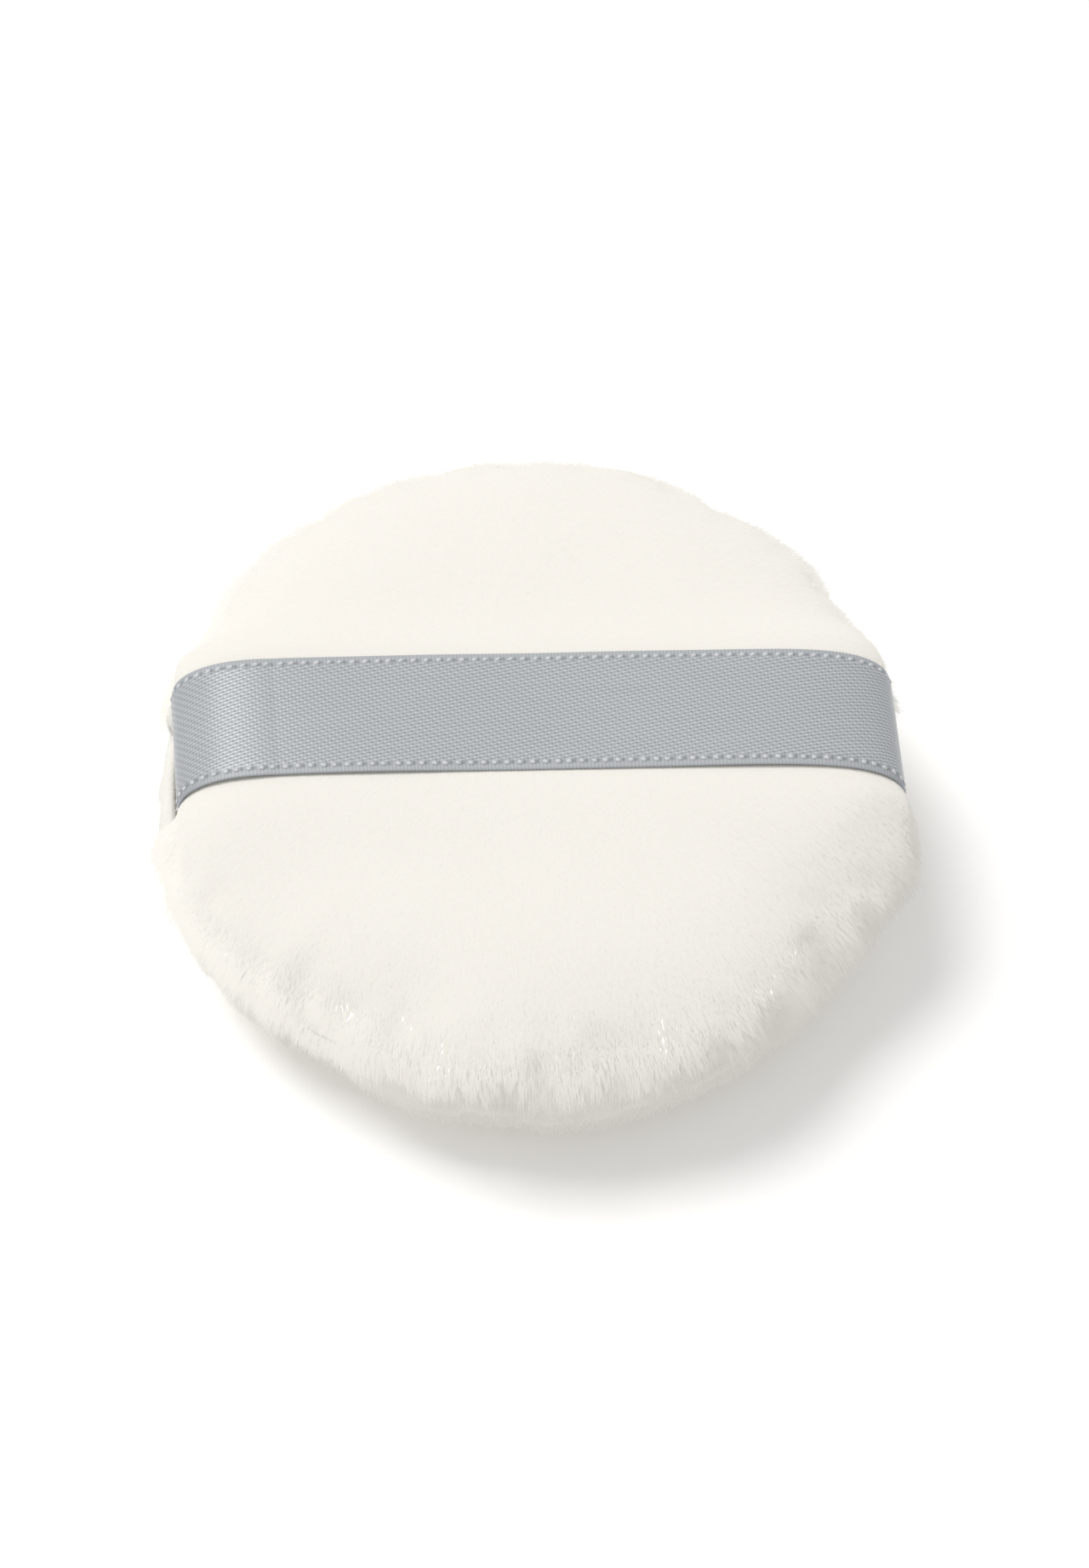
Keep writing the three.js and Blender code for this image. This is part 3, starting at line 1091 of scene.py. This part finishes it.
def strap_path(sizes):
    """The ribbon's middle line from tail to tail, as x and height, at even steps."""
    half = sizes.thickness / 2
    inset = 0.2 * MM
    step = 0.22 * MM
    reach = RIBBON_REACH - inset
    rise = BEND_DROP - inset
    turn = np.linspace(0, np.pi / 2, 900) ** 2 / (np.pi / 2)
    arch = np.column_stack([
        reach * np.sin(turn) ** (2 / BEND_FULLNESS), STRAP_BASE + rise * np.cos(turn)])
    corner = 0.6 * MM
    tail_height = TAIL_FLOOR + half
    quarter = np.linspace(0, np.pi / 2, 12)
    bend = np.column_stack([
        reach - corner + corner * np.cos(quarter), tail_height + corner - corner * np.sin(quarter)])
    right = np.vstack([arch, bend, [[TAIL_START, tail_height]]])
    left = right[:0:-1] * (-1, 1)
    line = np.vstack([left, right])
    length = np.linalg.norm(np.diff(line, axis=0), axis=1).sum()
    return evenly(line, int(length / step)), length


def path_normals(path):
    along = unit(np.gradient(path, axis=0))
    return along, np.column_stack([-along[:, 1], along[:, 0]])


def strap_section(sizes):
    """The ribbon's cross-section as offsets across and up, once round, with its stitch grooves."""
    half_width, half = RIBBON_HALF_WIDTH, sizes.thickness / 2
    row = half_width - sizes.stitch_inset
    edge = np.concatenate([
        np.linspace(0, row - 0.5 * MM, 16),
        np.linspace(row - 0.38 * MM, row + 0.38 * MM, 9),
        np.linspace(row + 0.5 * MM, half_width - 0.08 * MM, 4),
        [half_width],
    ])
    across = np.concatenate([-edge[:0:-1], edge])
    groove_width, groove_depth = 0.24 * MM, 0.05 * MM
    groove = np.exp(-((np.abs(across) - row) / groove_width) ** 2) * groove_depth
    rim = 1 - 0.75 * smooth_step(half_width - 0.12 * MM, half_width, np.abs(across))
    top = np.column_stack([across, half * rim - groove])
    bottom = np.column_stack([across, -half * rim])[::-1]
    return np.vstack([top, bottom])


def strap_wave(run, across, length):
    """How the ribbon stands off its line: a slack roll, an old fold, rippled edges that press in."""
    side = across / RIBBON_HALF_WIDTH
    roll = np.sin(run / (11.0 * MM)) * 0.05 + np.sin(run / (5.3 * MM) + 1.0) * 0.03
    past_fold = np.maximum(24.5 * MM - run, 0) / (4.0 * MM)
    fold = 0.12 * past_fold * np.exp(1 - past_fold)
    ripple = np.sin(run / (3.1 * MM) + 0.7 * np.sign(side)) * 0.03 + np.sin(run / (6.7 * MM)) * 0.04
    shown = smooth_step(12 * MM, 20 * MM, np.minimum(run, length - run))
    press = 0.12 * smooth_step(0.84, 1.0, np.abs(side))
    return ((roll + fold + ripple * side ** 2 * np.sign(side)) * shown - press) * MM


def build_strap(sizes, material):
    """The ribbon as one strip with two faces, from tail to tail."""
    path, length = strap_path(sizes)
    _, normals = path_normals(path)
    section = strap_section(sizes)
    run = np.linspace(0, length, len(path))[:, None]
    lift = section[None, :, 1] + strap_wave(run, section[None, :, 0], length)
    x = STRAP_SHIFT + path[:, 0, None] + normals[:, 0, None] * lift - STRAP_SKEW * section[None, :, 0]
    z = path[:, 1, None] + normals[:, 1, None] * lift + SEAM_HEIGHT
    y = np.broadcast_to(section[None, :, 0], x.shape)
    points = np.stack([x, y, z], -1).reshape(-1, 3)
    steps, around = x.shape
    body = grid_faces(steps, around)
    half = around // 2
    near = np.arange(half - 1)
    cap = np.vstack([
        np.column_stack([near, near + 1, around - 1 - near]),
        np.column_stack([near + 1, around - 2 - near, around - 1 - near]),
    ])
    far = cap[:, ::-1] + (steps - 1) * around
    made = new_object("ribbon", points, np.vstack([body, cap, far]), material)
    mesh = made.data
    place = np.stack(np.broadcast_arrays(run, section[None, :, 0]), -1).reshape(-1, 2)
    corners = np.zeros(len(mesh.loops), np.int32)
    mesh.loops.foreach_get("vertex_index", corners)
    mesh.uv_layers.new(name="Weave").uv.foreach_set("vector", place[corners].astype(np.float32).ravel())
    # Painted shade: from 0 where the ribbon lies flat to 1 where it turns down steeply
    bend_shade = np.repeat(smooth_step(0.05, 0.6, 1 - normals[:, 1]), around)
    mesh.attributes.new("bend_shade", "FLOAT", "POINT").data.foreach_set("value", bend_shade.astype(np.float32))
    return made, length


def bead(segments, rings):
    """A ball of radius 1: points and triangles."""
    turn = np.linspace(0, np.pi, rings + 2)
    return turned(np.column_stack([np.sin(turn), np.cos(turn)]), segments)


def build_stitches(sizes, material, rng):
    """The loops of thread along both edges of the ribbon."""
    path, length = strap_path(sizes)
    along, normals = path_normals(path)
    run = np.linspace(0, length, len(path))
    ball, ball_faces = bead(10, 5)
    places = np.arange(sizes.hidden, length - sizes.hidden, sizes.stitch_pitch)
    rows, faces = [], []
    for side in (-1, 1):
        across = side * (RIBBON_HALF_WIDTH - sizes.stitch_inset)
        for place in places:
            spot = place + rng.normal(0, 0.04) * MM
            index = np.searchsorted(run, spot)
            forward = np.array([along[index, 0], 0, along[index, 1]])
            up = np.array([normals[index, 0], 0, normals[index, 1]])
            slant = side * STITCH_SLANT + rng.normal(0, 0.06)
            lie = forward * math.cos(slant) + np.array([0, math.sin(slant), 0])
            beside = np.cross(up, lie)
            size = np.array(STITCH_SIZE) * rng.uniform(0.9, 1.1, 3)
            beside_middle = STRAP_SHIFT + path[index, 0] - STRAP_SKEW * across
            centre = np.array([beside_middle, across, path[index, 1] + SEAM_HEIGHT])
            stand_off = sizes.thickness / 2 - STITCH_SINK + strap_wave(spot, across, length)
            centre = centre + up * stand_off
            axes = np.array([lie * size[0], beside * size[1], up * size[2]])
            faces.append(ball_faces + len(rows) * len(ball))
            rows.append(ball @ axes + centre)
    return new_object("ribbon_stitches", np.vstack(rows), np.vstack(faces), material)


# Operators


class PUFF_OT_stage(bpy.types.Operator):
    """Set up the floor, the light and the camera"""

    bl_idname = "puff.stage"
    bl_label = "Stage"

    def execute(self, context):
        stage = context.scene.puff_stage
        self.lay_floor(stage, context.scene.puff_colours)
        self.set_light(context, stage)
        self.set_camera(context, stage)
        context.scene.view_settings.view_transform = "Standard"
        context.scene.cycles.diffuse_bounces = 8
        return {"FINISHED"}

    def lay_floor(self, stage, colours):
        material, nodes = new_material("pale_floor")
        seen = nodes.shows_background()
        paint = nodes.mix(seen, colour(colours.floor), colour(colours.floor_shown))
        nodes.output(nodes.add("ShaderNodeBsdfDiffuse", None, {"Color": paint}))
        sides = 96
        here = np.arange(sides)
        angle = 2 * np.pi * here / sides
        rim = stage.floor_radius * np.column_stack([np.cos(angle), np.sin(angle), np.zeros(sides)])
        faces = np.column_stack([np.zeros(sides, int), here + 1, (here + 1) % sides + 1])
        new_object("floor", np.vstack([[0, 0, 0], rim]), faces, material)

    def set_light(self, context, stage):
        world = bpy.data.worlds.new("studio")
        world.use_nodes = True
        context.scene.world = world
        nodes = Nodes(world.node_tree)
        seen = nodes.shows_background()
        strength = seen + (1 - seen) * stage.fill_strength
        sky = nodes.add("ShaderNodeBackground", None, {"Color": (1, 1, 1, 1), "Strength": strength})
        nodes.add("ShaderNodeOutputWorld", None, {"Surface": sky})
        lamp = bpy.data.lights.new("key", "SUN")
        lamp.energy = stage.key_strength
        lamp.angle = stage.key_softness
        lamp.color = stage.key_colour
        key = bpy.data.objects.new("key", lamp)
        flat = math.cos(stage.key_elevation)
        towards = Vector((
            flat * math.cos(stage.key_azimuth), flat * math.sin(stage.key_azimuth),
            math.sin(stage.key_elevation)))
        key.location = towards
        key.rotation_euler = towards.to_track_quat("Z", "Y").to_euler()
        context.scene.collection.objects.link(key)

    def set_camera(self, context, stage):
        lens = bpy.data.cameras.new("camera")
        lens.lens = stage.lens
        lens.clip_start = 0.01
        camera = bpy.data.objects.new("camera", lens)
        flat = math.cos(stage.elevation)
        back = Vector((
            flat * math.sin(stage.azimuth), -flat * math.cos(stage.azimuth), math.sin(stage.elevation)))
        right = Vector((math.cos(stage.azimuth), math.sin(stage.azimuth), 0))
        camera.location = Vector((0, 0, SEAM_HEIGHT)) + right * stage.offset + back * stage.distance
        camera.rotation_euler = back.to_track_quat("Z", "Y").to_euler()
        context.scene.collection.objects.link(camera)
        context.scene.camera = camera


class PUFF_OT_panels(bpy.types.Operator):
    """Make the two pile panels and grow their pile"""

    bl_idname = "puff.panels"
    bl_label = "Panels and pile"

    def execute(self, context):
        panel, pile = context.scene.puff_panel, context.scene.puff_pile
        colours = context.scene.puff_colours
        backing, velour = backing_finish(colours), pile_finish(colours)
        top = build_panel("top_panel", "top_cover", 1, panel, backing)
        bottom = build_panel("bottom_panel", "bottom_cover", -1, panel, backing)
        for skin, word in ((top, "top"), (bottom, "bottom")):
            rng = np.random.default_rng(20 + skin.facing)
            self.grow(skin, word, pile, velour, rng)
        self.glints(top, pile, glint_finish(colours))
        return {"FINISHED"}

    def grow(self, skin, word, pile, material, rng):
        over = np.abs(skin.points[:, 2] - SEAM_HEIGHT)
        edge = 1 - smooth_step(*EDGE_ZONE, over)
        inside = under_strap(skin.points, *STRAP_COVER) * (skin.facing > 0)
        flat_density = pile.crown_density if skin.facing > 0 else pile.base_density
        length = pile.crown_length + (pile.edge_length - pile.crown_length) * edge
        if skin.facing > 0:
            drape = 1 - smooth_step(*DRAPE_ZONE, over)
            length = length + (pile.drape_length - length) * drape
        flat, sink = (0.97, -0.02 * MM) if skin.facing > 0 else (0.5, 0.05 * MM)
        crown_style = {
            "nap": nap(skin, 0.25, 2.0), "lean": 1.7, "scatter": 0.16, "flat": flat, "sink": sink,
            "uneven": 0.1, "strands_a_tuft": 24, "pull": 0.08, "sag": 0.0, "girth": 1.0, "roll": 0.08,
            "sparkle": 0.0, "strands_a_piece": STRAIGHT_STRANDS}
        edge_style = {
            "nap": nap(skin, 0.45, 40.0), "lean": 1.9, "scatter": 0.2, "flat": 0.0, "sink": 0.08 * MM,
            "uneven": 0.22, "strands_a_tuft": 22, "pull": 0.4, "sag": 0.22, "girth": 1.0, "roll": 0.08,
            "sparkle": 0.0, "strands_a_piece": BENT_STRANDS}
        crown = flat_density / MM ** 2 * (1 - edge) * (1 - 0.5 * inside)
        side = pile.edge_density / MM ** 2 * edge * (1 - 0.6 * inside)
        grow_pile(f"{word}_pile", skin, crown, length, pile, crown_style, material, rng)
        grow_pile(f"{word}_edge_pile", skin, side, length, pile, edge_style, material, rng)

    def glints(self, skin, pile, material):
        rng = np.random.default_rng(77)
        over = skin.points[:, 2] - SEAM_HEIGHT
        spots = noise_at(skin.points, 1 / (3.5 * MM), 60.0)
        low = 1 - smooth_step(*GLINT_ZONE, over)
        clear = 1 - under_strap(skin.points, *STRAP_COVER)
        density = pile.glint_density / MM ** 2 * low * smooth_step(0.15, 0.5, spots) * clear
        length = np.full(len(over), pile.glint_length)
        style = {
            "nap": nap(skin, 0.9, 80.0), "lean": 1.2, "scatter": 0.3, "flat": 0.0, "sink": 0.08 * MM,
            "uneven": 0.25, "strands_a_tuft": 5, "pull": 0.3, "sag": 0.3, "girth": 1.8, "roll": 0.1,
            "sparkle": 1.5, "strands_a_piece": BENT_STRANDS}
        grow_pile("shiny_fibres", skin, density, length, pile, style, material, rng)


class PUFF_OT_ribbon(bpy.types.Operator):
    """Make the ribbon strap and its edge stitches"""

    bl_idname = "puff.ribbon"
    bl_label = "Ribbon strap"

    def execute(self, context):
        sizes = context.scene.puff_ribbon
        colours = context.scene.puff_colours
        strap, length = build_strap(sizes, satin_finish(colours, sizes))
        rng = np.random.default_rng(5)
        stitches = build_stitches(sizes, stitch_finish(colours), rng)
        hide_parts("ribbon_span", "ribbon_end_left", "ribbon_end_right")
        for piece in (strap, stitches):
            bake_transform(piece)
        return {"FINISHED"}


class PUFF_OT_foam(bpy.types.Operator):
    """Make the foam disc inside"""

    bl_idname = "puff.foam"
    bl_label = "Foam disc"

    def execute(self, context):
        sizes = context.scene.puff_panel
        half = FOAM_HIGH.z - SEAM_HEIGHT
        bulge = 1.5 * MM
        flat = sizes.base_radius * FOAM_HIGH.x / PUFF_RADIUS
        upper = rounded_edge(FOAM_HIGH.x, half, bulge, 0.0, sizes.fullness, FOAM_RINGS)
        lower = rounded_edge(FOAM_HIGH.x, half, bulge, flat, sizes.fullness, FOAM_RINGS)[::-1] * (1, -1)
        points, faces = turned(np.vstack([upper, lower]), FOAM_SEGMENTS)
        pore_size, pore_depth = 0.9 * MM, 0.3 * MM
        pores = noise_at(points, 1 / pore_size, 4.0)
        pit_depth_and_shade = smooth_step(0.05, 0.6, pores) * pore_depth + 0.05 * MM
        points = points - unit(points * (1, 1, 2)) * pit_depth_and_shade[:, None]
        points[:, 2] += SEAM_HEIGHT
        foam = new_object("foam_disc", points, faces, foam_finish(context.scene.puff_colours))
        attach(foam, "puff")
        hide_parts("foam_core")
        return {"FINISHED"}


class PUFF_OT_thread(bpy.types.Operator):
    """Make the twisted sewing thread of the seam"""

    bl_idname = "puff.thread"
    bl_label = "Seam thread"

    def execute(self, context):
        width = THREAD_HIGH.z - THREAD_LOW.z
        middle = THREAD_HIGH.x - width / 2
        height = (THREAD_HIGH.z + THREAD_LOW.z) / 2
        ply = width / 4
        twists, steps, sides = 190, 1500, 8
        angle = np.linspace(0, 2 * np.pi, steps, endpoint=False)
        turn = np.linspace(0, 2 * np.pi, sides, endpoint=False)[None, :, None]
        out = np.column_stack([np.cos(angle), np.sin(angle), np.zeros(steps)])
        parts, faces = [], []
        for number in range(2):
            twist = twists * angle + number * np.pi
            radius = middle + ply * np.cos(twist)
            line = out * radius[:, None] + np.column_stack(
                [np.zeros(steps), np.zeros(steps), height + ply * np.sin(twist)])
            forward = unit(np.roll(line, -1, axis=0) - np.roll(line, 1, axis=0))
            beside = unit(np.cross(forward, (0, 0, 1)))
            above = np.cross(beside, forward)
            around = np.cos(turn) * beside[:, None] + np.sin(turn) * above[:, None]
            parts.append((line[:, None] + ply * around).reshape(-1, 3))
            faces.append(grid_faces(steps, sides, closed_rings=True) + number * steps * sides)
        material = thread_finish(context.scene.puff_colours)
        thread = new_object("twisted_thread", np.vstack(parts), np.vstack(faces), material)
        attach(thread, "puff")
        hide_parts("seam_thread")
        return {"FINISHED"}


class PUFF_PT_sidebar(bpy.types.Panel):
    """Lists the steps that build the puff"""

    bl_idname = "PUFF_PT_sidebar"
    bl_label = "Powder puff"
    bl_space_type = "VIEW_3D"
    bl_region_type = "UI"
    bl_category = "Puff"

    def draw(self, context):
        for step in STEPS:
            self.layout.operator(step.bl_idname)


STEPS = (PUFF_OT_stage, PUFF_OT_panels, PUFF_OT_ribbon, PUFF_OT_foam, PUFF_OT_thread)
GROUPS = {
    "puff_panel": PanelSizes,
    "puff_pile": PileSizes,
    "puff_ribbon": RibbonSizes,
    "puff_colours": PuffColours,
    "puff_stage": StageSettings,
}


def register():
    for group in GROUPS.values():
        bpy.utils.register_class(group)
    for name, group in GROUPS.items():
        setattr(bpy.types.Scene, name, PointerProperty(type=group))
    for shown in (*STEPS, PUFF_PT_sidebar):
        bpy.utils.register_class(shown)


def unregister():
    for shown in (PUFF_PT_sidebar, *reversed(STEPS)):
        bpy.utils.unregister_class(shown)
    for name, group in reversed(GROUPS.items()):
        delattr(bpy.types.Scene, name)
        bpy.utils.unregister_class(group)


def main():
    register()
    bpy.ops.puff.stage()
    bpy.ops.puff.panels()
    bpy.ops.puff.ribbon()
    bpy.ops.puff.foam()
    bpy.ops.puff.thread()


if __name__ == "__main__":
    main()
